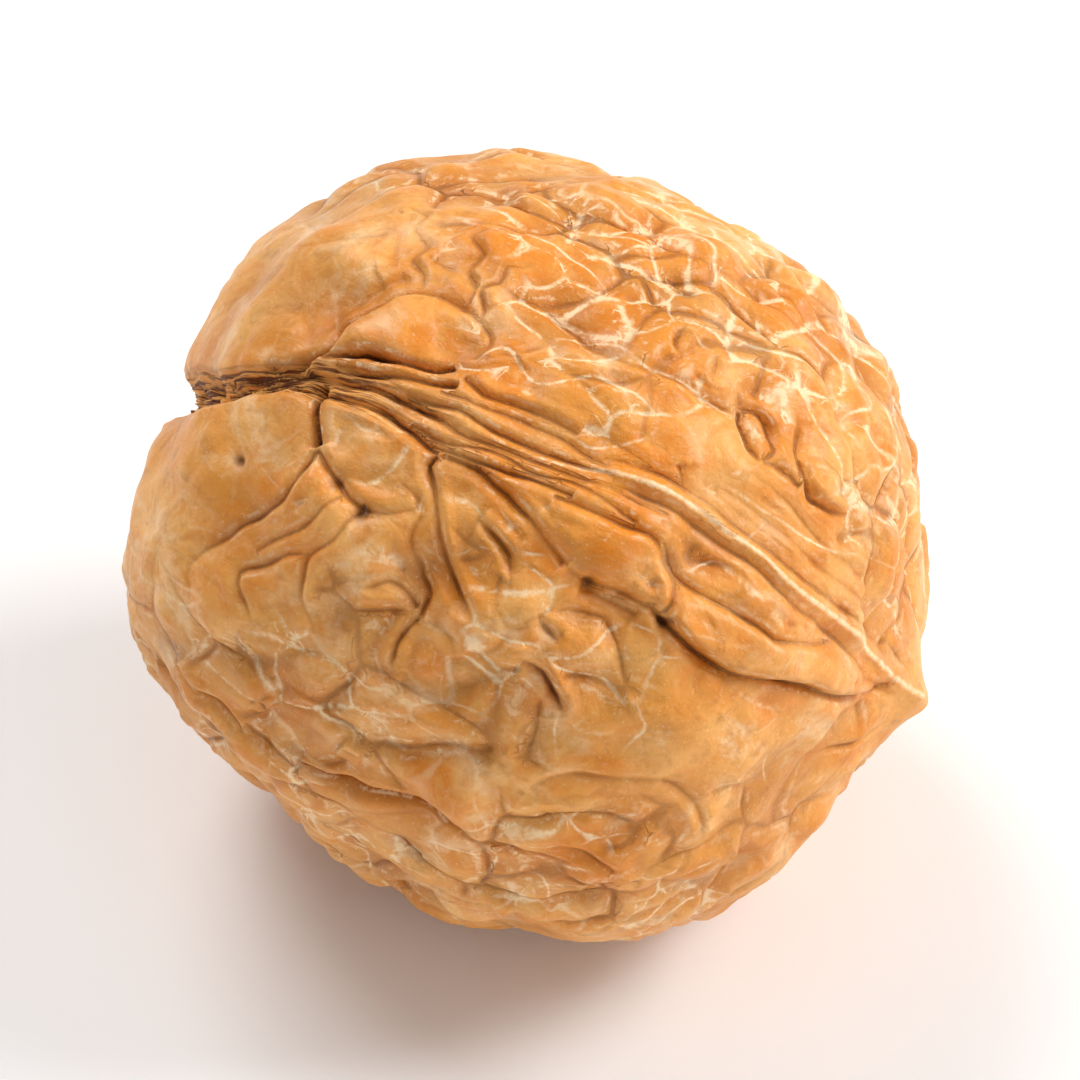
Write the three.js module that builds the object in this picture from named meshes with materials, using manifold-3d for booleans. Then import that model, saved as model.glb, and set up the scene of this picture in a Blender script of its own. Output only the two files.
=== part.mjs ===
// A walnut in its shell, lying on its side: one nearly round, woody body that grew in one piece.
// Two half shells are joined by a seam that runs round the nut through both ends. The seam stands
// up as a low ridge, sinks into a furrow at the stem end and rises to a short point at the tip.
import * as THREE from "three";
import { mergeVertices } from "three/addons/utils/BufferGeometryUtils.js";
import Module from "manifold-3d";

// Driving dimensions in millimetres, and angles in degrees. In the nut's own frame X is its axis,
// from the stem end to the tip, Z meets the seam and Y meets the middle of one half shell.
const STEM_REACH = 17.2; // from the centre to the stem end
const TIP_REACH = 17.15; // from the centre to the shoulder round the point
const SEAM_REACH = 17.3; // from the centre to the seam, without its ridge
const CHEEK_REACH = 17.05; // from the centre to the middle of a half shell
const FULLNESS = 2.45; // 2 would be an ellipsoid, and more is squarer
const POINT_HEIGHT = 2.2;
const POINT_SPREAD = 8.5; // degrees from the tip in which the point falls away
const POINT_ROUNDING = 0.8; // degrees of blunt end on the point
const RIDGE_HEIGHT = 0.4;
const RIDGE_WIDTH = 1.1; // half width of the seam's ridge
const RIDGE_LEAN = 0.6; // how far the upper seam swings towards +Y on its way to the tip
const ROLL = 30; // the turn about the nut's axis, which brings the seam down towards -Y
const DIP = 7.5; // how far the tip points below level
const FLAT_DEPTH = 0.55; // how much of the lowest part is taken off to rest on
const MEAN_RADIUS = 17.3; // turns angles into distances along the shell
const DETAIL = 17; // each of the 20 first triangles is split into (DETAIL + 1) squared
const SHELL_COLOUR = "#bd8a4f";

// A place on the shell is [longitude, latitude]: longitude is counted round the axis from +Z
// towards +Y, and latitude from the middle of the nut towards the tip.
// Broad swellings and hollows of the shell, with their spread in degrees.
const SWELLS = [
  { at: [-90, -18], height: -0.75, spread: 24 },
  { at: [-60, -62], height: 0.5, spread: 18 },
  { at: [88, 62], height: -0.3, spread: 20 },
  { at: [-95, 75], height: -0.5, spread: 20 },
  { at: [100, -20], height: -0.3, spread: 20 },
  { at: [95, -65], height: -0.3, spread: 18 },
  { at: [-35, -74], height: -0.5, spread: 12 },
  { at: [-16, 24], height: -0.45, spread: 7 },
  { at: [-40, 16], height: -0.25, spread: 9 },
  { at: [-77, -24], height: -0.5, spread: 12 },
  { at: [-99, -30], height: -1.5, spread: 13 },
  { at: [-113, 56], height: 0.35, spread: 12 },
  { at: [-145, 74], height: 0.35, spread: 13 },
  { at: [59, -54], height: 0.45, spread: 11 },
  { at: [71, -40], height: 0.4, spread: 14 },
  { at: [54, -66], height: 0.3, spread: 9 },
];

// Furrows and folds, each along a smooth line on the shell. They fade out over their two ends.
const FURROWS = [
  { line: [[172, -62], [176, -80], [-6, -84], [-6, -60], [-4, -40], [0, -16]], depth: 1.2, width: 1.3 },
  { line: [[8, -34], [15, -22], [17, -8]], depth: 0.5, width: 1.0 },
  { line: [[-8, -38], [-16, -31], [-24, -33]], depth: 0.5, width: 0.9 },
  { line: [[-12, -10], [-16, -6], [-28, 2], [-38, 8]], depth: 0.6, width: 1.0 },
  { line: [[-13, 19], [-15, 29], [-19, 38], [-20, 50], [-21, 66]], depth: 0.9, width: 1.2 },
  { line: [[-58, -8], [-62, 6], [-64, 18], [-61, 30]], depth: 0.5, width: 1.1 },
  { line: [[26, 28], [24, 42], [14, 50]], depth: 0.4, width: 1.0 },
  { line: [[60, -40], [66, -15], [62, 10], [70, 32]], depth: 0.5, width: 1.3 },
  { line: [[-105, -30], [-98, -5], [-104, 20], [-96, 44]], depth: 0.5, width: 1.3 },
  { line: [[108, -42], [100, -18], [112, 6], [104, 34]], depth: 0.5, width: 1.3 },
  { line: [[-145, -34], [-138, -8], [-146, 20], [-140, 48]], depth: 0.5, width: 1.3 },
  { line: [[150, -30], [143, -4], [150, 22], [146, 50]], depth: 0.5, width: 1.3 },
];

const radians = THREE.MathUtils.degToRad;

// The direction from the nut's centre to a place on the shell.
function direction([longitude, latitude]) {
  const lon = radians(longitude);
  const lat = radians(latitude);
  const reach = Math.cos(lat);
  return new THREE.Vector3(Math.sin(lat), reach * Math.sin(lon), reach * Math.cos(lon));
}

// The plain body: a rounded box in profile, a little narrower across the cheeks.
function bodyRadius(d) {
  const endReach = d.x > 0 ? TIP_REACH : STEM_REACH;
  const side = Math.hypot(d.y / CHEEK_REACH, d.z / SEAM_REACH);
  const end = Math.abs(d.x) / endReach;
  return (end ** FULLNESS + side ** FULLNESS) ** (-1 / FULLNESS);
}

function pointHeight(d) {
  const angle = THREE.MathUtils.radToDeg(Math.acos(THREE.MathUtils.clamp(d.x, -1, 1)));
  const rounded = Math.hypot(angle, POINT_ROUNDING) - POINT_ROUNDING;
  return POINT_HEIGHT * Math.exp(-rounded / POINT_SPREAD);
}

function swellHeight(d) {
  let height = 0;
  for (const swell of SWELLS) {
    const away = 1 - d.dot(direction(swell.at));
    height += swell.height * Math.exp(-away / (1 - Math.cos(radians(swell.spread))));
  }
  return height;
}

// The ridge stands on the seam from the middle of the nut to the tip, and dies away into the
// furrow at the stem end.
function ridgeHeight(d) {
  const swing = THREE.MathUtils.smoothstep(d.x, 0, 0.35) * THREE.MathUtils.smoothstep(0.8 - d.x, 0, 0.25);
  const lean = d.z > 0 ? RIDGE_LEAN * swing : 0;
  const fromSeam = Math.abs(MEAN_RADIUS * d.y - lean);
  const start = d.z > 0 ? -0.35 : -0.8;
  const grown = THREE.MathUtils.smoothstep(d.x, start, start + 0.5);
  return RIDGE_HEIGHT * grown * Math.exp(-((fromSeam / RIDGE_WIDTH) ** 2));
}

const furrowPaths = FURROWS.map(({ line, depth, width }) => {
  const curve = new THREE.CatmullRomCurve3(line.map(direction));
  return { points: curve.getPoints(20 * line.length).map((p) => p.normalize()), depth, width };
});

function furrowDepth(d) {
  let deepest = 0;
  for (const { points, depth, width } of furrowPaths) {
    let nearest = Infinity;
    let along = 0;
    points.forEach((p, i) => {
      const distance = MEAN_RADIUS * p.distanceTo(d);
      if (distance < nearest) {
        nearest = distance;
        along = i / (points.length - 1);
      }
    });
    const fade = Math.sqrt(Math.sin(Math.PI * THREE.MathUtils.clamp(along, 0.03, 0.97)));
    deepest = Math.max(deepest, depth * fade * Math.exp(-((nearest / width) ** 2)));
  }
  return deepest;
}

function shellRadius(d) {
  return bodyRadius(d) + pointHeight(d) + swellHeight(d) + ridgeHeight(d) - furrowDepth(d);
}

// A ball of even triangles, each corner moved out to the shell, then turned as the nut lies.
function nutGeometry() {
  const ball = new THREE.IcosahedronGeometry(1, DETAIL);
  ball.deleteAttribute("normal");
  ball.deleteAttribute("uv");
  const geometry = mergeVertices(ball, 1e-5);
  const corners = geometry.getAttribute("position");
  const d = new THREE.Vector3();
  for (let i = 0; i < corners.count; i++) {
    d.fromBufferAttribute(corners, i).normalize();
    d.multiplyScalar(shellRadius(d));
    corners.setXYZ(i, d.x, d.y, d.z);
  }
  return geometry.rotateX(radians(ROLL)).rotateY(radians(DIP));
}

const wasm = await Module();
wasm.setup();

function toSolid(geometry) {
  const plain = geometry.clone();
  plain.deleteAttribute("normal");
  plain.deleteAttribute("uv");
  const merged = mergeVertices(plain, 1e-5);
  const vertProperties = merged.getAttribute("position").array;
  const triVerts = new Uint32Array(merged.index.array);
  return new wasm.Manifold(new wasm.Mesh({ numProp: 3, vertProperties, triVerts }));
}

function toGeometry(solid) {
  const { vertProperties, triVerts } = solid.getMesh();
  const geometry = new THREE.BufferGeometry();
  geometry.setAttribute("position", new THREE.BufferAttribute(vertProperties, 3));
  geometry.setIndex(new THREE.BufferAttribute(triVerts, 1));
  geometry.computeVertexNormals();
  return geometry;
}

// The small flat spot that the nut rests on: everything below one level is cut away.
function restOnFlat(geometry) {
  geometry.computeBoundingBox();
  const size = 4 * MEAN_RADIUS;
  const level = geometry.boundingBox.min.z + FLAT_DEPTH;
  const below = new THREE.BoxGeometry(size, size, size).translate(0, 0, level - size / 2);
  return toGeometry(toSolid(geometry).subtract(toSolid(below)));
}

const shellGeometry = restOnFlat(nutGeometry());
shellGeometry.computeBoundingBox();
const middle = shellGeometry.boundingBox.getCenter(new THREE.Vector3());

const walnut = new THREE.Mesh(
  shellGeometry,
  new THREE.MeshStandardMaterial({ color: SHELL_COLOUR, roughness: 0.5, metalness: 0 }),
);
walnut.name = "walnut";
// The origin is under the middle of the nut, on the surface that it rests on.
walnut.position.set(-middle.x, -middle.y, -shellGeometry.boundingBox.min.z);

const part = new THREE.Group();
part.add(walnut);

export default part;
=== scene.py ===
import math

import bpy
import numpy as np
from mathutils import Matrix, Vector


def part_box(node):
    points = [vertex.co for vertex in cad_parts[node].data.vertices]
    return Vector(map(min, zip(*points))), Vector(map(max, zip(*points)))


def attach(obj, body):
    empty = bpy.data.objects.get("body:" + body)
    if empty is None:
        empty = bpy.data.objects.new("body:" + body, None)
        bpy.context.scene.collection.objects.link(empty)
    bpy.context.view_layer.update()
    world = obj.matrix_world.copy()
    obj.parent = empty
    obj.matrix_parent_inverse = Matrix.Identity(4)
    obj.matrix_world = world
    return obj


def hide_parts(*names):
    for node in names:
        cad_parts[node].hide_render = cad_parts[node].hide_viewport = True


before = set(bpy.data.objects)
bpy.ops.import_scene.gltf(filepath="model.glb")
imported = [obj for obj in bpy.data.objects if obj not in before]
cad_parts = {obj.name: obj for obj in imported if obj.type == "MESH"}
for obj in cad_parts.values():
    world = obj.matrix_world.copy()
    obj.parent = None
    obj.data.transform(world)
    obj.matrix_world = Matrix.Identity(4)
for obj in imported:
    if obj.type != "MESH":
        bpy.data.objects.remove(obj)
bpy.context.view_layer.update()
bpy.ops.object.select_all(action="DESELECT")


# ---------------------------------------------------------------- the walnut shell
# One whole Persian walnut in its dry shell: two woody halves grown together along a raised seam,
# open and stringy at the stem end and drawn to a small hard point at the other.
# It is one grown piece, so it is one closed surface, laid on the flat spot it rests on.

# The plain body, in millimetres: X runs from the stem to the point, Z through the seam that faces up.
STEM_REACH = 17.2
POINT_REACH = 17.15
SEAM_REACH = 17.3
CHEEK_REACH = 17.05
FULLNESS = 2.45
TIP_HEIGHT = 2.2
TIP_SPREAD = 8.5
TIP_ROUNDING = 0.8
MEAN_RADIUS = 17.3
ROLL = math.radians(30)
DIP = math.radians(7.5)

# Broad swells and hollows of the body: longitude, latitude, height, spread in degrees.
SWELLS = (
    (-90, -18, -0.75, 24),
    (-60, -62, 0.5, 18),
    (88, 62, -0.3, 20),
    (-95, 75, -0.5, 20),
    (100, -20, -0.3, 20),
    (95, -65, -0.3, 18),
    (-35, -74, -0.5, 12),
    (-16, 24, -0.45, 7),
    (-40, 16, -0.25, 9),
    (-77, -24, -0.5, 12),
    (-99, -30, -1.5, 13),
    (-113, 56, 0.35, 12),
    (59, -54, 0.45, 11),
    (71, -40, 0.4, 14),
    (54, -66, 0.3, 9),
    (-145, 74, 0.35, 13),
)

# The torn furrow at the stem, where the two halves stand apart and dry fibres show:
# the line of stops "longitude,latitude", then the half-width and the depth at each stop.
FURROW_LINE = ("171,-36 171,-48 173,-62 176,-80 -6,-84 -6,-60 -4.5,-49 -1.3,-40 0.5,-35 1,-30 1,-20 "
               "0,-10 0,0")
FURROW_WIDTH = (0.3, 0.45, 0.6, 0.8, 0.9, 0.95, 0.85, 0.62, 0.6, 0.8, 1.0, 1.3, 1.5)
FURROW_DEPTH = (0.1, 0.4, 0.7, 0.9, 0.9, 1.0, 1.0, 0.85, 0.7, 0.55, 0.4, 0.25, 0.0)
FIBRE_HEIGHT = 0.20
FIBRE_RAGGEDNESS = 0.22
FIBRES_ACROSS = 2.6

# Raised seams and long plump plates: height, half-width, paleness, line of stops with a strength
# after the place where it isn't 1.
RIDGES = (
    (0.36, 0.45, 0.75, "1,-10,.3 1,6,.6 2,14 3,20 3,26 2,35 1,40 -1,45 -1,52 -1,59 -2,66 -4,76 -4,89.5"),
    (0.32, 2.10, 0.0, "1,-34,.2 1,-30,.7 1,-24 0,-12 0,0 -1,12 -1,22,.5"),
    (0.50, 1.45, 0.0, "-9,24,.2 -11,30 -14,36 -16,42 -17,50 -18,58 -17,66 -14,75,.4"),
    (0.25, 1.00, 0.0, "-3,14,.3 -4,22 -5,30 -6,38 -7,46 -7,54,.4"),
    (0.22, 1.20, 0.0, "-6,8,.3 -8,14 -9,20 -12,25"),
    (0.55, 0.80, 0.8, "176,89.5,.6 178,84 177,70 176,50 175,30 174,10 173,-10 172,-30 170,-44,.4"),
)

# Creases and folds: depth, half-width, darkness of the painted shade in the crease, lift of the plate on the
# left of the line (on the right where it is negative), line of stops. A darkness over WIDE_DARKNESS also
# gives the crease a bed of painted shade as wide as itself.
WIDE_DARKNESS = 1.3
CREASES = (
    # the strands of the seam, fanning out of the stem furrow
    (0.48, 0.16, 1.2, 0.0, "2,-40 2,-35 2,-30 2,-22 2,-17 2,-14 1,-10,.8 0,-6,.6 0,-2,.5 0,3,.5 0,8,.5 "
                           "0,14,.5 0,20,.4 0,26,.3"),
    (0.44, 0.15, 1.2, 0.0, "-1,-34 -1,-28 -1,-22 -1,-18 -2,-14 -3,-11,.8 -4,-8,.8"),
    (0.28, 0.13, 0.9, 0.0, "3,-16 3,-10 3,-6 2,-1 2,4 2,8 2,12 2,17"),
    (0.22, 0.12, 0.6, 0.0, "5,-12 5,-7 5,-2 5,3 5,7 4,11 3,16"),
    (0.44, 0.15, 1.2, 0.0, "4,-28 4,-22 5,-17 6,-12 7,-9"),
    (0.28, 0.14, 0.9, 0.0, "-3,-10 -3,-6 -3,1 -3,7 -3,13"),
    (0.24, 0.12, 0.7, 0.0, "-1,-14 -2,-8 -1,-2 -1,2 -2,7 -1,12 -2,17 -3,22"),
    # the leaf-shaped plate beside the strands
    (0.50, 0.17, 1.0, -0.35, "2,-37 4,-33 7,-30 10,-30 13,-28 15,-26 18,-24,.5 20,-20,.4 20,-17,.4 "
                             "19,-13,.4 16,-8,.4 12,-9,.4"),
    (0.54, 0.20, 1.45, 0.35, "5,-31 6,-27 7,-23 7,-19 8,-14 10,-11"),
    (0.36, 0.17, 0.8, 0.15, "9,-9 8,-8 7,-5 7,-3,.8 7,1,.6 7,6,.6 6,10,.5"),
    (0.20, 0.16, 0.4, 0.0, "14,-4 16,-2 19,0"),
    # under the strands: the fibre gap and the plates below it
    (0.85, 0.45, 2.0, 0.0, "1,-30 -3,-28 -7,-26.5 -10,-25"),
    (0.24, 0.16, 0.6, 0.12, "-10,-25 -12,-25 -16,-26 -19,-27 -23,-30 -26,-33 -29,-35,.7 -37,-39,.3 "
                            "-40,-38,.3 -44,-36,.3 -47,-36,.3"),
    (0.30, 0.18, 0.6, -0.1, "-10,-25 -13,-21 -15,-18 -16,-15"),
    (0.25, 0.30, 0.3, 0.0, "-16,-15 -15,-11 -13,-8"),
    (0.30, 0.18, 0.7, 0.2, "-16,-15 -18,-16 -21,-17 -25,-20 -30,-20,.8 -33,-19,.6 -35,-17,.6 -39,-13,.4"),
    (0.20, 0.15, 0.5, 0.1, "-25,-20 -26,-23 -30,-27 -33,-30 -37,-28 -39,-26,.7 -42,-24,.6 -44,-23,.5"),
    (0.24, 0.17, 0.5, 0.0, "-15,-18 -19,-21 -22,-23 -25,-26 -29,-29,.6"),
    (0.44, 0.22, 0.9, 0.2, "-4,-8 -6,-9 -9,-7 -12,-5 -16,-3 -19,-1 -22,2 -25,5 -27,7,.7"),
    (0.26, 0.17, 0.6, 0.1, "-13,-7 -17,-7 -20,-5 -22,-4 -24,-2 -26,-2 -28,-2"),
    (0.26, 0.17, 0.6, -0.1, "-25,-14 -26,-11 -24,-8 -25,-5 -27,-3"),
    (0.30, 0.16, 0.7, -0.15, "-28,-2 -31,-4 -35,-4 -38,-3,.6"),
    (0.16, 0.14, 0.2, 0.08, "-28,-2 -28,2 -30,4.5 -33,5,.6"),
    (0.38, 0.18, 0.7, 0.15, "-4,-8 -4,-2 -5,1 -6,4 -7,6 -8,9 -10,12 -12,15"),
    (0.38, 0.20, 0.7, 0.2, "-10,-1 -11,2 -12,4 -14,7 -17,8 -20,9"),
    (0.30, 0.20, 0.6, 0.1, "-20,13 -22,15 -24,18"),
    (0.55, 0.24, 1.0, 0.25, "-27,12,.6 -28,14 -29,17 -31,19 -33,21 -36,22,.5"),
    (0.35, 0.60, 0.3, 0.0, "-14,18 -15,23 -16,27"),
    # the long plump plate beside the seam, from the middle to the point
    (0.52, 0.20, 1.0, 0.65, "-13,27,.4 -15,30,.9 -18,36 -20,42,.9 -20,47,.8 -20,57,.8 -22,70,.6 "
                            "-17,77,.5 -10,81,.4"),
    (0.34, 0.20, 0.6, 0.35, "-12,15,.4 -13,19,.8 -13,23,.8 -14,28,.8"),
    (0.35, 0.18, 0.7, -0.2, "-4,10 -4,14 -4,17 -4,20 -4,24 -5,26 -7,28 -9,30 -12,30 -15,29"),
    (0.40, 0.18, 0.8, -0.2, "-4,26,.6 -6,28 -8,30 -9,34 -10,39 -11,43 -12,46 -11,49,.7 -10,53,.6 "
                            "-8,57,.5 -5,60,.4"),
    (0.26, 0.14, 0.7, 0.0, "4,14,.5 5,20 5,26 4,33 3,39 2,45 2,52 2.5,60 3,68,.6"),
    (0.22, 0.13, 0.6, 0.0, "0,14,.5 1,20 1,26 0,34 -1.5,40 -4,46 -4.5,53 -5.5,61 -10,70,.6"),
    (0.16, 0.13, 0.4, 0.0, "8,30,.5 8,36 7,42 6,48 7,54 9,62,.6"),
    (0.14, 0.12, 0.4, 0.0, "13,33,.5 13,40 11,47 12,54 14,60,.5"),
    (0.16, 0.12, 0.5, 0.0, "-12,70,.4 -15,78 -25,85,.6"),
    (0.16, 0.12, 0.4, 0.0, "9,72,.4 14,80 20,86,.6"),
    (0.20, 0.14, 0.5, 0.1, "-52,68,.4 -58,76 -62,82 -70,87,.5"),
    # the half above the seam
    (0.16, 0.17, 0.4, 0.1, "37,-29,.6 35,-26 32,-27 29,-24 26,-25 23,-22 20,-21,.6"),
    (0.10, 0.22, 0.2, 0.0, "36,-29 33,-28 28,-28 24,-27 22,-29 21,-31"),
    (0.16, 0.18, 0.4, 0.1, "38,-18,.6 35,-16 32,-18 29,-15 26,-16 23,-14 19,-14,.6"),
    (0.20, 0.14, 0.6, 0.1, "32,-7,.6 29,-9 28,-11 25,-11 23,-13 20,-11 18,-11,.6"),
    (0.30, 0.24, 0.9, 0.2, "32,16 30,16 27,16 25,17 24,19"),
    (0.20, 0.14, 0.6, 0.0, "30,22 27,22 24,23 21,23"),
    (0.42, 0.15, 1.1, -0.15, "23,29 21,29.5 19,30.5 17,32 16,34"),
    (0.36, 0.15, 1.0, 0.1, "23,29 24.5,31 24,33 22,34.5 19,35.5 16,34"),
    (0.35, 0.18, 0.8, 0.1, "16,34 17,36 17,39 17,41"),
    (0.24, 0.18, 0.6, 0.1, "29,35 27,37 24,38 21,39 19,40 17,40"),
    (0.34, 0.18, 0.7, 0.2, "21,39 19,41 17,43 17,45 18,48 20,50 22,52,.6"),
    (0.16, 0.14, 0.4, 0.0, "8,24 5,26 3,29 2,33 2,36"),
    (0.16, 0.14, 0.4, 0.0, "7,14 6,19 5,23 5,26"),
    # the half below, down to the floor
    (0.22, 0.30, 0.3, 0.15, "-48,20 -45,23 -43,27 -43,32 -43,38 -41,43"),
    (0.24, 0.18, 0.5, 0.1, "-43,38 -45,41 -49,44 -55,46 -61,47"),
    (0.34, 0.18, 0.8, 0.25, "-57,-41,.5 -59,-38 -60,-34 -60,-30 -62,-26 -64,-22"),
    (0.24, 0.20, 0.6, 0.0, "-53,-23 -55,-21"),
    (0.62, 0.22, 1.6, 0.40, "-61,-18,.5 -61,-14 -61,-10,.8 -60,-6,.7 -60,-3,.8 -59,1 -58,5 -58,8 -59,10 "
                            "-60,13 -61,15"),
    (0.30, 0.18, 0.7, 0.15, "-80,3 -81,7 -80,10 -81,14 -80,18"),
    (0.26, 0.18, 0.6, 0.1, "-80,19 -82,22 -84,24 -86,27 -87,30 -87,33"),
    (0.30, 0.18, 0.6, 0.15, "-57,24 -59,26 -60,30 -62,33 -64,34"),
    (0.22, 0.16, 0.8, 0.0, "-68,34 -67,37 -67,39"),
    (0.22, 0.20, 0.5, 0.0, "-53,-10 -54,-7 -54,-4"),
    (0.30, 0.55, 0.2, 0.0, "-44,13 -45,15 -48,18 -49,20"),
)

# Thin pale veins, each in a faint groove: depth, paleness, line of stops.
VEINS = (
    (0.07, 0.8, "9,30 9,35 9,40 9,45 11,50 18,57,.5"),
    (0.05, 0.7, "1,37 4,38 7,39 9,39"),
    (0.07, 0.8, "9,-10 13,-8 15,-5 12,0 12,3 15,8 15,13 13,19"),
    (0.06, 0.8, "6,8 5,12 7,16 10,19 13,19"),
    (0.07, 0.8, "35,-18 37,-14 36,-9 35,-4 33,1 31,6"),
    (0.06, 0.7, "19,-1 21,3 22,8 20,13 19,18"),
    (0.06, 0.8, "38,41 36,43 34,47"),
    (0.10, 1.0, "34,21 35,25 36,28 38,33 39,38 38,42"),
    (0.06, 0.8, "44,23 42,24 39,26 37,28"),
    (0.08, 1.0, "54,39 51,41 49,44 44,44 41,43 35,41"),
    (0.06, 0.8, "48,50 48,54 51,58 48,62 40,66"),
    (0.06, 0.8, "-36,55 -41,55 -52,58"),
    (0.06, 0.8, "-27,72 -38,66"),
    (0.06, 0.8, "-61,17 -65,18 -71,17"),
    (0.05, 0.7, "-68,21 -69,25 -75,26 -80,26"),
    (0.05, 0.7, "-71,39 -77,38 -83,37"),
    (0.07, 0.9, "-28,30 -31,32 -33,33 -37,32 -39,31"),
    (0.06, 0.8, "-33,21 -37,21 -42,23"),
)

# Pits, dimples, lumps and knobs: longitude, latitude, radius, height, darkness of the painted shade in a
# pit, paleness.
SPOTS = (
    (-13, 19, 0.38, -0.40, 0.9, 0.0),
    (-15, 30.5, 0.38, -0.45, 1.0, 0.0),
    (-16, -15, 0.40, -0.32, 0.9, 0.0),
    (-14, -20, 0.50, -0.30, 0.6, 0.0),
    (-44, 13, 0.60, -0.40, 0.6, 0.0),
    (32, 8, 0.45, -0.25, 0.5, 0.0),
    (38, 14, 0.70, -0.40, 0.8, 0.0),
    (40, 12, 0.60, -0.30, 0.6, 0.0),
    (14, -32, 0.90, -0.25, 0.1, 0.0),
    (-16, -37, 0.38, -0.30, 0.9, 0.0),
    (-68, -29, 0.45, -0.20, 0.5, 0.0),
    (-28, 7, 0.50, 0.15, 0.0, 0.9),
    (20, 32.3, 0.60, 0.25, 0.0, 0.6),
    (27, 46, 2.30, 0.55, 0.0, 0.0),
    (13, -20, 2.40, 0.35, 0.0, 0.1),
    (-33, 1, 1.10, 0.42, 0.0, 0.0),
    (-21, -10, 1.60, 0.25, 0.0, 0.0),
    (-8, 22, 1.60, 0.25, 0.0, 0.0),
    (-16, 46, 1.50, 0.30, 0.0, 0.0),
    (-45, -3, 1.40, 0.10, 0.0, 0.5),
)

# Warm orange patches in the middle of plates: longitude, latitude, radius.
WARM = (
    (11, -4, 2.2), (33, -14, 2.4), (33, -2, 2.2), (27, -4, 2.0), (27, 6, 2.2), (46, 6, 2.4),
    (12, -14, 1.6), (-24, -22, 1.4), (-50, -18, 2.0), (-33, 1, 1.0), (-8, 20, 1.6), (8, 22, 1.8),
    (20, 20, 2.2), (30, 34, 2.4), (-52, 6, 1.8), (-62, 30, 2.0), (-12, 12, 1.3), (50, 28, 2.2),
)

# Places where the shell stays smooth between its creases: longitude, latitude, radius.
BARE = (
    (0, -58, 10.8), (12, -20, 2.6), (-15, 42, 1.8), (-16, 54, 1.8), (-35, 38, 3.2), (-9, 20, 1.6),
    (-30, 60, 3.0), (-104, 66, 2.6),
)

# The plates that cover the rest of the shell: how many there are, how far they are drawn out along
# the nut, how deep the grooves between them are, how far one stands over the next, and their doming.
PLATE_COUNT = 270
PLATE_STRETCH = 0.56
PLATE_GROOVE = 0.46
PLATE_STEP = 0.46
PLATE_DOME = 0.20

# The finer net of pale veins: how many pillows it makes, their stretch, groove, step and paleness,
# and the place on the shell where the net is thickest, with its reach.
NET_COUNT = 620
NET_STRETCH = 0.60
NET_GROOVE = 0.17
NET_STEP = 0.12
NET_PALENESS = 0.46
NET_MIDDLE = (42, 26)
NET_REACH = 0.75 * MEAN_RADIUS

# Broad and small lumps of the whole shell: size, height, seed. Then the long fine wrinkles.
LUMPS = ((5.5, 0.34, 41), (2.6, 0.40, 42), (1.1, 0.13, 43))
WRINKLE_HEIGHT = 0.09
WRINKLE_STRETCH = 0.28

# How finely lines are laid, how far to their sides they are felt, how fast their hold on the places
# beside them falls away, and how far their ends take to fade out, all in millimetres.
LINE_STEP = 0.33
LINE_REACH = 6.0
VEIN_REACH = 5.0
FURROW_REACH = 5.0
LINE_HOLD = 0.4
SLOT_WIDTH = 0.13
JOINING_GAP = 1.0
JOINED_FADE = 0.15
FREE_FADE = 2.6
RIDGE_FADE = 0.6
THIN_FADE = 1.5

# The carving is worked out in lots, so that it never needs much memory at once.
PAIRS_AT_A_TIME = 2_000_000
PLACES_AT_A_TIME = 40_000


def shell_way(longitude, latitude):
    """Unit direction of a place on the shell: longitude 0 is the seam facing up, latitude 90 the point."""
    around, up = math.radians(longitude), math.radians(latitude)
    return np.array((math.sin(up), math.cos(up) * math.sin(around), math.cos(up) * math.cos(around)))


def off_place(ways, longitude, latitude):
    """How far each direction is from a place on the shell, in millimetres."""
    return np.linalg.norm(ways - shell_way(longitude, latitude), axis=1) * MEAN_RADIUS


def smooth(low, high, value):
    """0 below low, 1 above high, and an even ease between them."""
    t = np.clip((value - low) / (high - low), 0.0, 1.0)
    return t * t * (3 - 2 * t)


def bell(off, reach, power=2):
    """1 at no distance, falling away to nothing a little past reach, and more squarely with more power."""
    return np.exp(-((off / reach) ** power))


def raise_to(values, at, least):
    """Lifts the values at some places to at least these."""
    values[at] = np.maximum(values[at], least)


def ripple(points, size, seed):
    """Smooth random swell from -1 to 1 at points in millimetres, with humps about size across."""
    grid = 32
    table = np.random.default_rng(seed).uniform(-1, 1, (grid, grid, grid))
    at = points / size + seed * 0.37
    cell = np.floor(at).astype(int)
    part = at - cell
    part = part * part * part * (part * (part * 6 - 15) + 10)
    total = np.zeros(len(points))
    for corner in range(8):
        step = np.array((corner & 1, corner >> 1 & 1, corner >> 2 & 1))
        weight = np.prod(np.where(step, part, 1 - part), axis=1)
        i, j, k = ((cell + step) % grid).T
        total += weight * table[i, j, k]
    return total


def drift(points, size, amount, first_seed):
    """A smooth random shift in each of the three directions, up to about amount long."""
    return np.column_stack([ripple(points, size, first_seed + axis) for axis in range(3)]) * amount


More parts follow.
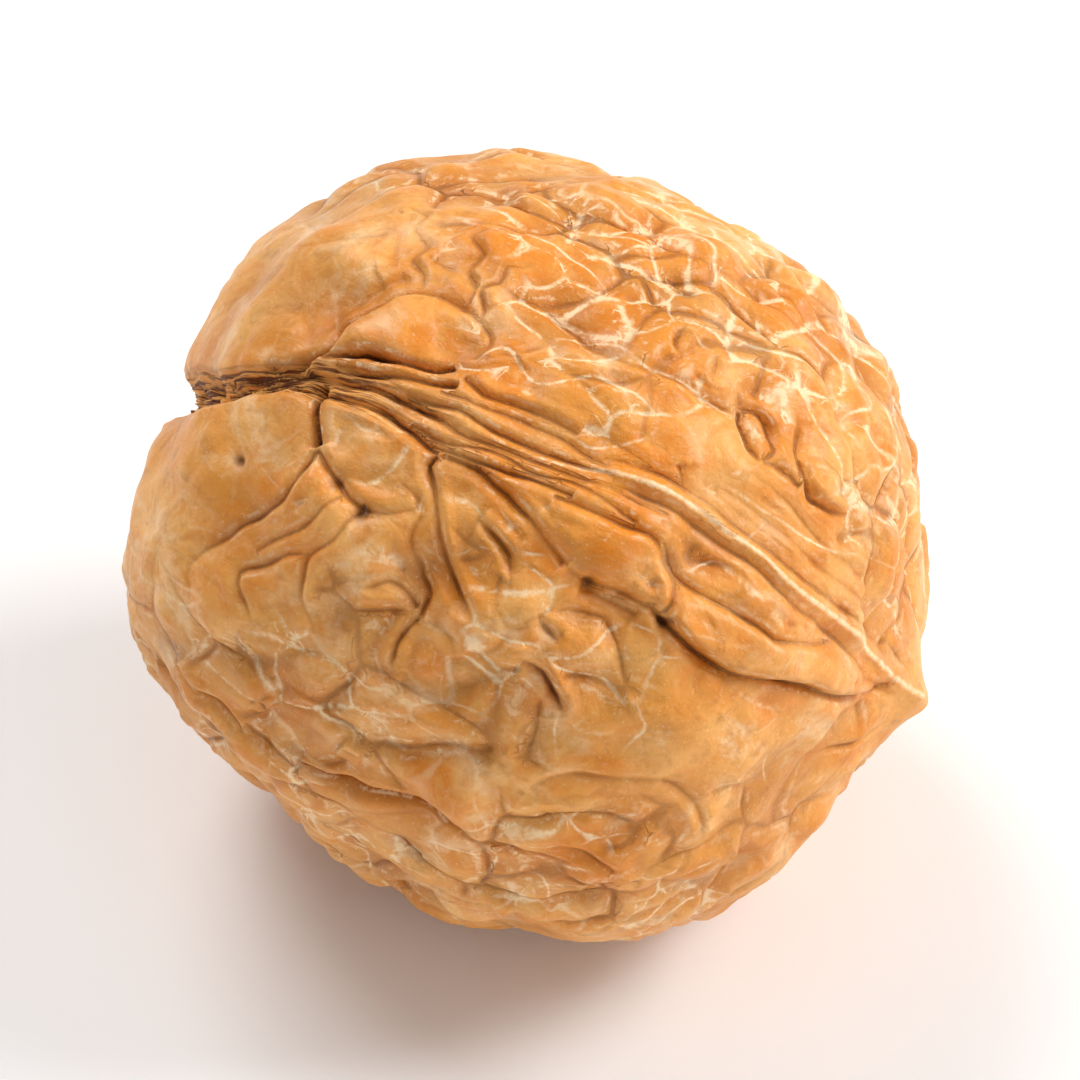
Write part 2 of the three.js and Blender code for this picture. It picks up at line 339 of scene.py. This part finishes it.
def laid_line(stops, *extras):
    """A smooth line over the shell through its stops: unit directions LINE_STEP apart, with the
    strength, and any extra value given stop by stop, at each."""
    rows = [[float(number) for number in stop.split(",")] for stop in stops.split()]
    knots = np.array([shell_way(row[0], row[1]) for row in rows])
    values = np.column_stack([[row[2] if len(row) > 2 else 1.0 for row in rows], *extras])
    ends = np.vstack([2 * knots[0] - knots[1], knots, 2 * knots[-1] - knots[-2]])
    line, carried = [], []
    for i in range(len(knots) - 1):
        p0, p1, p2, p3 = ends[i:i + 4]
        steps = max(2, int(np.linalg.norm(p2 - p1) * MEAN_RADIUS / LINE_STEP))
        for t in np.arange(steps) / steps:
            bend = 2 * p0 - 5 * p1 + 4 * p2 - p3
            twist = 3 * p1 - p0 - 3 * p2 + p3
            line.append(0.5 * (2 * p1 + (p2 - p0) * t + bend * t * t + twist * t * t * t))
            carried.append(values[i] * (1 - t) + values[i + 1] * t)
    line.append(knots[-1])
    carried.append(values[-1])
    line = np.array(line)
    return line / np.linalg.norm(line, axis=1)[:, None], np.array(carried)


def joined_ends(lines):
    """For each laid line, how far in millimetres its start and its end take to fade out: hardly at all
    where it runs into another line, long where it stops by itself."""
    fades = []
    for own, line in enumerate(lines):
        others = np.vstack([other for i, other in enumerate(lines) if i != own])
        nearest = [np.linalg.norm(others - tip, axis=1).min() * MEAN_RADIUS for tip in (line[0], line[-1])]
        fades.append([JOINED_FADE if gap < JOINING_GAP else FREE_FADE for gap in nearest])
    return fades


def near_line(ways, stops, reach, *extras, fades):
    """The directions within reach millimetres of a laid line: which they are, how far off they lie,
    that distance signed by the side (left is positive), the line's values beside them with the
    strength faded at both ends, and how far along the line they lie from its nearer end."""
    line, carried = laid_line(stops, *extras)
    middle = line.mean(axis=0)
    middle /= np.linalg.norm(middle)
    cone = np.arccos(np.clip((line @ middle).min(), -1, 1)) + reach / MEAN_RADIUS
    near = np.nonzero(ways @ middle > math.cos(min(cone, math.pi)))[0]
    start, edge = line[:-1], np.diff(line, axis=0)
    long2 = (edge * edge).sum(axis=1)
    run = np.concatenate([[0], np.cumsum(np.sqrt(long2))]) * MEAN_RADIUS
    start_fade, end_fade = (min(fade, 0.45 * run[-1]) for fade in fades)
    kept, gaps, sides, found, rooms = [], [], [], [], []
    for lot in np.array_split(near, max(1, len(near) * len(start) // PAIRS_AT_A_TIME)):
        p = ways[lot]
        ahead = p @ edge.T - (start * edge).sum(axis=1)
        t = np.clip(ahead / long2, 0, 1)
        square = 2 - 2 * (p @ start.T) - 2 * t * ahead + t * t * long2
        best = square.argmin(axis=1)
        t = t[np.arange(len(lot)), best]
        gap = p - start[best] - t[:, None] * edge[best]
        off = np.sqrt((gap * gap).sum(axis=1)) * MEAN_RADIUS
        side = np.sign((gap * np.cross(start[best], edge[best])).sum(axis=1))
        value = carried[best] * (1 - t[:, None]) + carried[best + 1] * t[:, None]
        along = run[best] * (1 - t) + run[best + 1] * t
        value[:, 0] *= smooth(0, start_fade, along) * smooth(0, end_fade, run[-1] - along)
        inside = off < reach
        kept.append(lot[inside])
        gaps.append(off[inside])
        sides.append((side * off)[inside])
        found.append(value[inside])
        rooms.append(np.minimum(along, run[-1] - along)[inside])
    return [np.concatenate(parts) for parts in (kept, gaps, sides, found, rooms)]


def take_places(line, claim, at, off, across, bid, force):
    """Gives the places where this line bids more than any line before it over to this line."""
    bid = bid * np.exp(-off / LINE_HOLD)
    wins = bid > claim[at]
    won = at[wins]
    claim[won] = bid[wins]
    line[won] = np.column_stack((across, off, force))[wins]


def plate_edges(ways, count, stretch, seed):
    """Distance in millimetres to the edge of the nearest plate, with a sign that turns over at the edge,
    for plates scattered evenly over the shell and drawn out along the nut, and a number for each plate."""
    rng = np.random.default_rng(seed)
    turn = np.arange(count) * math.pi * (3 - math.sqrt(5))
    level = 1 - 2 * (np.arange(count) + 0.5) / count
    ring = np.sqrt(1 - level * level)
    seeds = np.column_stack((level, ring * np.cos(turn), ring * np.sin(turn)))
    seeds += rng.normal(0, 0.42 * math.sqrt(4 * math.pi / count), seeds.shape)
    seeds /= np.linalg.norm(seeds, axis=1)[:, None]
    shares = rng.uniform(0, 1, count)
    squeeze = np.array((stretch, 1, 1))
    seeds = (seeds * squeeze).astype(np.float32)
    edge, share = np.empty(len(ways)), np.empty(len(ways))
    for first in range(0, len(ways), PLACES_AT_A_TIME):
        p = (ways[first:first + PLACES_AT_A_TIME] * squeeze).astype(np.float32)
        square = (p * p).sum(axis=1)[:, None] + (seeds * seeds).sum(axis=1) - 2 * p @ seeds.T
        rows, nearest = np.arange(len(p)), square.argmin(axis=1)
        own = np.sqrt(np.maximum(square[rows, nearest], 0))
        square[rows, nearest] = np.inf
        second = square.argmin(axis=1)
        gap = (np.sqrt(np.maximum(square[rows, second], 0)) - own) * 0.5 * MEAN_RADIUS
        edge[first:first + len(p)] = gap * np.sign(second - nearest)
        share[first:first + len(p)] = shares[nearest]
    return edge, share


class Carving:
    """The shell in each direction from its middle: heights and depths in millimetres, marks from 0 to 1,
    and for each kind of line the signed distance, the plain distance and the strength of the nearest."""

    def __init__(self, ways):
        self.ways = ways
        self.places = ways * MEAN_RADIUS
        self.long_places = self.places * np.array((WRINKLE_STRETCH, 1, 1))
        count = len(ways)
        self.valley, self.slot, self.lift, self.raised, self.spots = np.zeros((5, count))
        self.painted_shade, self.pale, self.warm, self.fibre = np.zeros((4, count))
        self.crease = np.tile((3.0, 3.0, 0.0), (count, 1))
        self.strand = np.zeros((count, 3))
        self.drawn = np.full(count, 9.0)
        self.unsteady = 0.85 + 0.45 * ripple(self.places, 1.7, 11)
        # Nothing on a nut is drawn with a ruler: every line wanders a little from its stops.
        wander = drift(self.places, 1.5, 0.09, 1) + drift(self.places, 4.0, 0.14, 4)
        self.bent = ways + wander / MEAN_RADIUS
        self.bent /= np.linalg.norm(self.bent, axis=1)[:, None]

    def plain_body(self):
        """A rounded body with its point, its broad swells and its hollows."""
        x, y, z = self.ways.T
        end = np.abs(x) / np.where(x > 0, POINT_REACH, STEM_REACH)
        side = np.hypot(y / CHEEK_REACH, z / SEAM_REACH)
        self.radius = (end**FULLNESS + side**FULLNESS) ** (-1 / FULLNESS)
        self.off_tip = np.degrees(np.arccos(np.clip(x, -1, 1)))
        blunt = np.hypot(self.off_tip, TIP_ROUNDING) - TIP_ROUNDING
        self.radius += TIP_HEIGHT * np.exp(-blunt / TIP_SPREAD)
        for longitude, latitude, height, spread in SWELLS:
            aim = self.ways @ shell_way(longitude, latitude)
            self.radius += height * np.exp(-(1 - aim) / (1 - math.cos(math.radians(spread))))

    def cut_creases(self):
        """A soft valley with a sharp slot in it, and beside some creases a plate that stands over them."""
        fades = joined_ends([laid_line(row[4])[0] for row in CREASES])
        claim = np.zeros(len(self.ways))
        for (depth, width, darkness, proud, stops), ends in zip(CREASES, fades):
            at, off, across, value, room = near_line(self.bent, stops, LINE_REACH, fades=ends)
            force = value[:, 0] * np.clip(self.unsteady[at], 0.45, 1.1)
            self.drawn[at] = np.minimum(self.drawn[at], off + 3.0 * (1 - np.minimum(force * 3, 1)))
            raise_to(self.valley, at, 0.95 * depth * force * bell(off, 0.20 + 0.65 * width, 1.35))
            raise_to(self.slot, at, 0.42 * depth * darkness * force * bell(off, SLOT_WIDTH))
            raise_to(self.warm, at, 0.7 * force * bell(off - 0.75, 0.35))
            # Painted shade: a deep crease gets a dark bed as wide as itself.
            if darkness > WIDE_DARKNESS:
                raise_to(self.painted_shade, at, force * (darkness - 0.9) * bell(off, 0.75 * width))
            # The crease's darkness goes with it as the strength of its dark line, which is painted shade in
            # the groove.
            take_places(self.crease, claim, at, off, across, force * (0.4 + darkness), darkness * force)
            if proud:
                out = across * math.copysign(1, proud)
                rise = smooth(-0.05, 0.35, out) * np.exp(-np.maximum(out, 0) / 1.8)
                sink = smooth(0.45, -0.05, out) * np.exp(np.minimum(out, 0) / 1.4)
                self.lift[at] += abs(proud) * 0.9 * force * smooth(0.0, 1.4, room) * (rise - 0.5 * sink)

    def raise_ridges(self):
        """The seams with their pale crests, and the long plump plates."""
        for height, width, paleness, stops in RIDGES:
            at, off, _, value, _ = near_line(self.bent, stops, LINE_REACH, fades=(RIDGE_FADE, RIDGE_FADE))
            profile = value[:, 0] * bell(off, width, 1.8)
            raise_to(self.raised, at, height * profile)
            raise_to(self.pale, at, paleness * value[:, 0] * bell(off, 0.40 * width))
            if paleness:
                self.drawn[at] = np.minimum(self.drawn[at], off)

    def press_spots(self):
        """The pits, lumps and knobs, none of them quite round, with painted shade in the pits, and the warm
        patches.
        """
        uneven = 1 + 0.45 * ripple(self.places, 0.7, 71)
        for longitude, latitude, size, height, darkness, paleness in SPOTS:
            dome = bell(off_place(self.bent, longitude, latitude) * uneven, size)
            self.spots += height * dome
            self.painted_shade = np.maximum(self.painted_shade, darkness * dome)
            self.pale = np.maximum(self.pale, paleness * dome)
        for longitude, latitude, size in WARM:
            self.warm = np.maximum(self.warm, bell(off_place(self.bent, longitude, latitude), size, 4))

    def scatter_plates(self):
        """The rest of the shell carries the same kind of plates, parted by creases that come and go."""
        self.calm = np.ones(len(self.ways))
        for longitude, latitude, size in BARE:
            self.calm *= 1 - 0.85 * bell(off_place(self.ways, longitude, latitude), size, 6)
        self.clear = smooth(0.3, 1.0, self.drawn) * smooth(5, 14, self.off_tip) * self.calm
        spare = self.clear * (0.7 + 0.3 * smooth(2.0, 5.0, self.drawn))
        far = self.ways + drift(self.places, 3.2, 0.055, 21)
        across, share = plate_edges(far, PLATE_COUNT, PLATE_STRETCH, 31)
        edge = np.abs(across)
        coming = ripple(self.places, 4.5, 33) + 0.5 * ripple(self.places, 1.9, 34)
        cut = spare * (0.3 + 0.7 * smooth(-0.6, 0.3, coming))
        self.valley = np.maximum(self.valley, PLATE_GROOVE * cut * bell(edge, 0.42, 1.25))
        self.warm = np.maximum(self.warm, spare * smooth(0.45, 0.8, share) * smooth(0.4, 1.2, edge))
        self.plate = np.column_stack((across, edge, 0.8 * cut))
        stepped = (share - 0.5) * PLATE_STEP * smooth(0.0, 0.8, edge)
        self.plates = spare * (stepped + PLATE_DOME * smooth(0.0, 1.5, edge))

    def scatter_net(self):
        """A finer net of pale veins parts the plates again into small pillows."""
        net = self.ways + drift(self.places, 2.2, 0.050, 24)
        across, tone = plate_edges(net, NET_COUNT, NET_STRETCH, 37)
        gap = np.abs(across)
        netted = bell(off_place(self.ways, *NET_MIDDLE), NET_REACH, 4)
        veined = smooth(-0.35, 0.5, ripple(self.places, 4.0, 38) + 0.8 * netted) * self.clear
        self.pillows = NET_GROOVE * veined * bell(gap, 0.28, 1.3)
        net_pale = NET_PALENESS * veined * (0.35 + 0.65 * netted) * bell(gap, 0.26)
        self.pale = np.maximum(self.pale, net_pale)
        self.warm = np.maximum(self.warm, veined * smooth(0.3, 0.8, tone) * smooth(0.2, 0.7, gap) * 0.8)
        self.vein = np.column_stack((across, gap, veined))
        self.plates += veined * (tone - 0.5) * NET_STEP * smooth(0.0, 0.5, gap)
        claim = veined * 0.5 * np.exp(-gap / LINE_HOLD)
        for depth, paleness, stops in VEINS:
            at, off, across, value, _ = near_line(self.bent, stops, VEIN_REACH, fades=(THIN_FADE, THIN_FADE))
            force = value[:, 0] * np.minimum(self.unsteady[at], 1.2)
            raise_to(self.pillows, at, depth * force * bell(off, 0.30, 1.3))
            take_places(self.vein, claim, at, off, across, 2 * paleness * force, 1.3 * paleness * force)
            raise_to(self.pale, at, 0.6 * paleness * force * bell(off, 0.14))

    def add_lumps(self):
        """Broad lumps, the long fine wrinkles from end to end, and all the relief put on the body."""
        self.lumps = sum(height * ripple(self.places, size, seed) for size, height, seed in LUMPS)
        self.lumps *= 0.3 + 0.7 * smooth(3, 14, self.off_tip)
        wrinkled = smooth(-0.2, 0.5, ripple(self.places, 6.0, 51)) * self.calm
        wrinkles = WRINKLE_HEIGHT * wrinkled * (1 - 2.5 * np.abs(ripple(self.long_places, 1.0, 52)))
        self.radius += (self.raised + self.lift + self.spots + self.plates + self.lumps + wrinkles
                        - self.valley - self.slot - self.pillows)

    def open_furrow(self):
        """The furrow at the stem, with its dry fibres lying along it."""
        at, off, across, value, _ = near_line(
            self.bent, FURROW_LINE, FURROW_REACH, FURROW_WIDTH, FURROW_DEPTH, fades=(THIN_FADE, THIN_FADE))
        there, half, deep = value.T
        open_part = there * bell(off, half, 4)
        along = self.long_places[at]
        turns = across / half + 0.20 * ripple(along, 0.8, 61)
        strings = FIBRE_HEIGHT * np.cos(2 * math.pi * turns * FIBRES_ACROSS)
        strings += FIBRE_RAGGEDNESS * ripple(along, 0.45, 62)
        self.radius[at] -= deep * open_part - strings * open_part * smooth(0.3, 1.0, deep)
        self.radius[at] -= 0.35 * deep * there * np.exp(-off / 1.0)
        thick = (0.25 + 0.75 * smooth(0.2, 0.7, deep)) * smooth(0.0, 0.2, deep)
        self.fibre[at] = there * bell(off, half * 1.15, 6) * thick
        self.strand[at, 0] = self.ways[at, 0] * MEAN_RADIUS
        self.strand[at, 1] = across / half
        self.pale *= 1 - 0.8 * self.fibre

    def hollow_shade(self):
        """How sunken each place is, from 0 to 1, which sets the painted shade in the hollows."""
        sunken = self.valley * 1.3 - self.lift - self.spots - 0.4 * self.raised - 0.7 * self.lumps
        return np.clip(sunken * 1.6, 0, 1)


def carve(ways):
    """The distance of the shell from its middle in each direction, in millimetres, and the marks that
    colour it: single numbers from 0 to 1, and threes for the lines."""
    cut = Carving(ways)
    cut.plain_body()
    cut.cut_creases()
    cut.raise_ridges()
    cut.press_spots()
    cut.scatter_plates()
    cut.scatter_net()
    cut.add_lumps()
    cut.open_furrow()
    ones = {"painted_shade": cut.painted_shade, "pale": cut.pale, "warm": cut.warm, "fibre": cut.fibre}
    ones["hollow_shade"] = cut.hollow_shade()
    threes = {"crease": cut.crease, "plate": cut.plate, "vein": cut.vein, "strand": cut.strand}
    return cut.radius, ones, threes


# A cube cut fine and blown up to a ball gives the shell an even skin with no poles.
CUBE_CUTS = 63
MOST_TRIANGLES = 198_000
MM = 0.001
bpy.ops.mesh.primitive_cube_add(size=2)
shell = bpy.context.object
shell.name = "walnut_shell"
bpy.ops.object.mode_set(mode="EDIT")
bpy.ops.mesh.select_all(action="SELECT")
bpy.ops.mesh.subdivide(number_cuts=CUBE_CUTS)
bpy.ops.object.mode_set(mode="OBJECT")
finer = shell.modifiers.new("finer", "SUBSURF")
finer.subdivision_type = "SIMPLE"
finer.levels = finer.render_levels = 2
bpy.ops.object.modifier_apply(modifier="finer")


def corners(mesh):
    """Every vertex of a mesh as a row of three numbers."""
    flat = np.empty(len(mesh.vertices) * 3)
    mesh.vertices.foreach_get("co", flat)
    return flat.reshape(-1, 3)


def place_corners(mesh, points):
    """Moves every vertex of a mesh to its row of points."""
    mesh.vertices.foreach_set("co", points.ravel())
    mesh.update()


even = np.tan(corners(shell.data) * math.pi / 4)
ways = even / np.linalg.norm(even, axis=1)[:, None]
radius, ones, threes = carve(ways)
place_corners(shell.data, ways * radius[:, None])
triangles = 2 * len(shell.data.polygons)
if triangles > MOST_TRIANGLES:
    # Flat stretches give up their corners first, so the creases keep the finest skin.
    thinner = shell.modifiers.new("thinner", "DECIMATE")
    thinner.ratio = MOST_TRIANGLES / triangles
    bpy.ops.object.modifier_apply(modifier="thinner")
    ways = corners(shell.data)
    ways /= np.linalg.norm(ways, axis=1)[:, None]
    radius, ones, threes = carve(ways)

# Turned to the way it lies, set in the room the solid takes, and pressed flat where it rests.
cos_roll, sin_roll = math.cos(ROLL), math.sin(ROLL)
cos_dip, sin_dip = math.cos(DIP), math.sin(DIP)
local = ways * radius[:, None]
roll = np.array(((1, 0, 0), (0, cos_roll, -sin_roll), (0, sin_roll, cos_roll)))
dip = np.array(((cos_dip, 0, sin_dip), (0, 1, 0), (-sin_dip, 0, cos_dip)))
laid = local @ (dip @ roll).T * MM
low, high = (np.array(corner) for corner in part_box("walnut"))
laid[:, :2] += (low + high)[:2] / 2 - (laid.min(axis=0) + laid.max(axis=0))[:2] / 2
laid[:, 2] += high[2] - laid[:, 2].max()
laid[:, 2] = np.maximum(laid[:, 2], low[2])
place_corners(shell.data, laid)
for name, values in ones.items():
    layer = shell.data.attributes.new(name, "FLOAT", "POINT")
    layer.data.foreach_set("value", values.astype(np.float32))
threes["place"] = local
for name, values in threes.items():
    layer = shell.data.attributes.new(name, "FLOAT_VECTOR", "POINT")
    layer.data.foreach_set("vector", values.astype(np.float32).ravel())
bpy.ops.object.shade_smooth()


class Weave:
    """A value on its way through a material: one socket, whose arithmetic adds Math nodes."""

    def __init__(self, tree, socket=None):
        self.tree = tree
        self.socket = socket

    def node(self, kind, settings, inputs, output=0):
        """A new node with its settings made first, then its sockets given values or links."""
        made = self.tree.nodes.new(kind)
        for name, value in settings.items():
            setattr(made, name, value)
        for name, value in inputs.items():
            if isinstance(value, Weave):
                self.tree.links.new(value.socket, made.inputs[name])
            else:
                made.inputs[name].default_value = value
        return Weave(self.tree, made.outputs[output] if made.outputs else None)

    def math(self, operation, *values):
        """A Math node of that operation on these values."""
        return self.node("ShaderNodeMath", {"operation": operation}, dict(enumerate(values)))

    def __add__(self, other):
        return self.math("ADD", self, other)

    def __radd__(self, other):
        return self.math("ADD", other, self)

    def __sub__(self, other):
        return self.math("SUBTRACT", self, other)

    def __rsub__(self, other):
        return self.math("SUBTRACT", other, self)

    def __mul__(self, other):
        return self.math("MULTIPLY", self, other)

    def __rmul__(self, other):
        return self.math("MULTIPLY", other, self)

    def size(self):
        """The value without its sign."""
        return self.math("ABSOLUTE", self)

    def capped(self):
        """The value, but never over 1."""
        return self.math("MINIMUM", self, 1.0)

    def between(self, low, high):
        """0 where the value is under low, 1 where it is over high, with an even ease between."""
        return self.node("ShaderNodeMapRange", {"interpolation_type": "SMOOTHSTEP"},
                         {"Value": self, "From Min": low, "From Max": high, "To Min": 0.0, "To Max": 1.0})


def colour(red, green, blue):
    """A colour as it is read off a paint chart, 0 to 255, turned into light."""
    parts = [c / 255 for c in (red, green, blue)]
    return [c / 12.92 if c <= 0.04045 else ((c + 0.055) / 1.055) ** 2.4 for c in parts] + [1.0]


TAN = colour(226, 148, 57)
ORANGE = colour(222, 124, 14)
SAND = colour(244, 181, 102)
CREAM = colour(255, 224, 178)
UMBER = colour(164, 94, 24)
GROOVE_SHADE_BROWN = colour(92, 46, 14)
FLANK_SHADE_BROWN = colour(196, 111, 20)
FIBRE_RED = colour(250, 178, 92)
FIBRE_DARK = colour(100, 48, 16)

wood = bpy.data.materials.new("walnut_shell_wood")
wood.use_nodes = True
tree = wood.node_tree
tree.nodes.clear()
weave = Weave(tree)


def mark(name, output="Fac"):
    """One of the marks that the carving left on the shell: a number, or a Vector of three."""
    return weave.node("ShaderNodeAttribute", {"attribute_name": name}, {}, output)


place = mark("place", "Vector")


def cloud(size, detail=3.0, rough=0.55, stretch=(1, 1, 1), shift=0.0, warp=0.0, over=None):
    """Noise with lumps about size millimetres across, drawn out where stretch is under 1."""
    scale = [part / size for part in stretch]
    moved = weave.node("ShaderNodeMapping", {},
                       {"Vector": over or place, "Location": [shift] * 3, "Scale": scale})
    return weave.node("ShaderNodeTexNoise", {}, {
        "Vector": moved, "Scale": 1.0, "Detail": detail, "Roughness": rough, "Distortion": warp})


def blend(factor, first, second):
    """Two colours mixed by a factor from 0 to 1."""
    return weave.node("ShaderNodeMix", {"data_type": "RGBA"}, {0: factor, 6: first, 7: second}, 2)


def line_of(name, core, width):
    """The nearest line of one kind, kept off its neighbours, then the ragged distance from it, the
    plain distance and the line's strength."""
    vector = mark(name, "Vector")
    signed, plain, strength = (weave.node("ShaderNodeSeparateXYZ", {}, {"Vector": vector}, axis)
                               for axis in range(3))
    off = (signed + jitter).size()
    line = (1 - off.between(core, width)) * (1 - plain.between(0.17, 0.27)) * strength
    return line, off, plain, strength


def lip_of(off, strength, away, width):
    """A thin edge that runs along both sides of a line, at a distance from it."""
    return (1 - (off - away).size().between(0.02, width)) * strength


painted_shade, pale, warm, fibre, hollow_shade = (mark(name) for name in ("painted_shade", "pale", "warm", "fibre", "hollow_shade"))
ragged = cloud(0.35, 4.0, 0.6)
broad = cloud(5.0, 2.0, 0.5, shift=3.0)
patchy = cloud(1.8, 3.0, 0.6, shift=9.0, warp=0.6)
blotchy = cloud(0.8, 4.0, 0.65, shift=41.0, warp=0.8)
bloom = cloud(3.2, 5.0, 0.7, stretch=(0.7, 1, 1), shift=53.0, warp=0.5)
streaks = cloud(0.5, 4.0, 0.65, stretch=(0.22, 1, 1), shift=17.0)
grain = cloud(0.16, 3.0, 0.6, shift=23.0)
jitter = 0.16 * (ragged - 0.5)

# The dark lines of the creases, painted as the shade in them, the pale lips and veins that come and go
# beside them, and painted shade on the browner flanks of both kinds of crease.
crease, crease_off, crease_plain, crease_force = line_of("crease", 0.02, 0.13)
plate, plate_off, plate_plain, plate_force = line_of("plate", 0.02, 0.11)
vein = line_of("vein", 0.01, 0.11)[0]
# Painted shade: dark in the creases, along the plate edges and in the pits.
groove_shade = (crease + plate * 0.8 + painted_shade.between(0.3, 0.9)) * (0.55 + 0.6 * blotchy)
lips = lip_of(crease_off, crease_force, 0.27, 0.13) * 0.7 + lip_of(plate_off, plate_force, 0.24, 0.12)
lips = lips * blotchy.between(0.46, 0.62) + vein * blotchy.between(0.34, 0.56)
lips = lips + (pale + 0.9 * (ragged - 0.5)).between(0.30, 0.85)
# Painted shade: browner on the flanks beside the creases and plate edges.
flank_shade = (1 - crease_plain.between(0.15, 0.75)) * crease_force
flank_shade = flank_shade + (1 - plate_plain.between(0.15, 0.8)) * plate_force

# Tan wood with sandy and orange patches, cream bloom, and umber painted shade where it is hollow.
skin = blend(broad.between(0.3, 0.7), TAN, SAND)
skin = blend(patchy.between(0.45, 0.72) * 0.5, skin, ORANGE)
skin = blend(bloom.between(0.50, 0.68) * (1 - warm) * 0.5, skin, CREAM)
skin = blend((1 - patchy).between(0.52, 0.72) * 0.4, skin, UMBER)
skin = blend(warm * blotchy.between(0.25, 0.6) * 0.8, skin, ORANGE)
# Painted shade: umber in the hollows.
skin = blend(hollow_shade * 0.6, skin, UMBER)
# Painted shade: the flanks beside the creases browned.
skin = blend(flank_shade.capped() * patchy.between(0.35, 0.6) * 0.55, skin, FLANK_SHADE_BROWN)

# Long brown streaks, pale lips, pale and dark grains, and the painted shade of the grooves over them all.
skin = blend(streaks.between(0.5, 0.8) * 0.30, skin, UMBER)
skin = blend(lips.capped() * 0.8, skin, CREAM)
skin = blend(grain.between(0.60, 0.76) * 0.40, skin, CREAM)
skin = blend((1 - grain).between(0.62, 0.76) * 0.35, skin, UMBER)
# Painted shade in the grooves, laid over everything else.
skin = blend(groove_shade.capped() * 0.85, skin, GROOVE_SHADE_BROWN)

# The dry fibres of the stem furrow, dark and reddish by turns across it.
string_tone = cloud(1.0, 3.0, 0.6, stretch=(0.55, 7.0, 1), shift=31.0, over=mark("strand", "Vector"))
strings = blend(string_tone.between(0.42, 0.58), FIBRE_DARK, FIBRE_RED)
skin = blend(fibre.between(0.05, 0.95) * 0.95, skin, strings)

# Fine roughness in millimetres, which the mesh is too coarse to hold.
height = 0.024 * ragged + 0.015 * grain + 0.020 * streaks + 0.07 * patchy + 0.06 * blotchy
height = height - 0.07 * groove_shade + 0.22 * fibre * string_tone
bump = weave.node("ShaderNodeBump", {}, {"Strength": 1.0, "Distance": MM, "Height": height})
finish = weave.node("ShaderNodeBsdfPrincipled", {}, {
    "Base Color": skin,
    "Roughness": 0.36 + 0.18 * patchy + 0.2 * groove_shade + 0.3 * fibre,
    "IOR": 1.37,
    "Coat Weight": 0.08,
    "Coat Roughness": 0.25,
    "Normal": bump,
})
weave.node("ShaderNodeOutputMaterial", {}, {"Surface": finish})
shell.data.materials.append(wood)
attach(shell, "root")
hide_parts("walnut")


# ---------------------------------------------------------------- the floor
# A plain pale table top, matt and level, with its far edge well away from the nut.
FLOOR_SIZE = 4.0
FLOOR_WHITE = colour(252, 252, 252)
bpy.ops.object.select_all(action="DESELECT")
bpy.ops.mesh.primitive_plane_add(size=FLOOR_SIZE, location=(0, 0, low[2]))
floor = bpy.context.object
floor.name = "table_top"
bpy.ops.object.transform_apply(location=True, rotation=True, scale=True)
board = bpy.data.materials.new("pale_table")
board.use_nodes = True
paint = board.node_tree.nodes["Principled BSDF"].inputs
paint["Base Color"].default_value = FLOOR_WHITE
paint["Roughness"].default_value = 0.8
floor.data.materials.append(board)


# ---------------------------------------------------------------- the studio light
# A broad soft box behind on the right, one above on the left, and a faint one low in front on the
# right, in a white room.
middle = Vector((low + high) / 2)


def soft_box(name, aim, distance, size, power):
    """A square soft light looking at the nut from a direction, at a distance in metres."""
    lamp = bpy.data.lights.new(name, "AREA")
    lamp.size = size
    lamp.energy = power
    holder = bpy.data.objects.new(name, lamp)
    bpy.context.scene.collection.objects.link(holder)
    holder.location = middle + Vector(aim).normalized() * distance
    holder.rotation_euler = (middle - holder.location).to_track_quat("-Z", "Y").to_euler()


soft_box("key_box", (0.66, 0.40, 0.66), 0.55, 0.24, 2.3)
soft_box("top_box", (-0.50, 0.25, 0.80), 0.60, 0.30, 2.1)
soft_box("side_box", (0.90, -0.40, 0.35), 0.60, 0.35, 0.6)
room = bpy.data.worlds.new("white_room")
room.use_nodes = True
glow = room.node_tree.nodes["Background"].inputs
glow["Color"].default_value = (1, 1, 1, 1)
glow["Strength"].default_value = 0.34
bpy.context.scene.world = room
bpy.context.scene.view_settings.view_transform = "Standard"


# ---------------------------------------------------------------- the camera
# A long lens, close to the table, looking down on the nut from in front and a little to the right.
AZIMUTH = math.radians(22.3)
ELEVATION = math.radians(45)
CAMERA_DISTANCE = 0.320
CAMERA_LENS = 236
AIM_SHIFT = Vector((-0.0004, 0, 0))
level = math.cos(ELEVATION)
back = Vector((math.sin(AZIMUTH) * level, -math.cos(AZIMUTH) * level, math.sin(ELEVATION)))
eye = bpy.data.objects.new("camera", bpy.data.cameras.new("camera"))
eye.data.lens = CAMERA_LENS
eye.location = middle + AIM_SHIFT + back * CAMERA_DISTANCE
eye.rotation_euler = (-back).to_track_quat("-Z", "Y").to_euler()
bpy.context.scene.collection.objects.link(eye)
bpy.context.scene.camera = eye
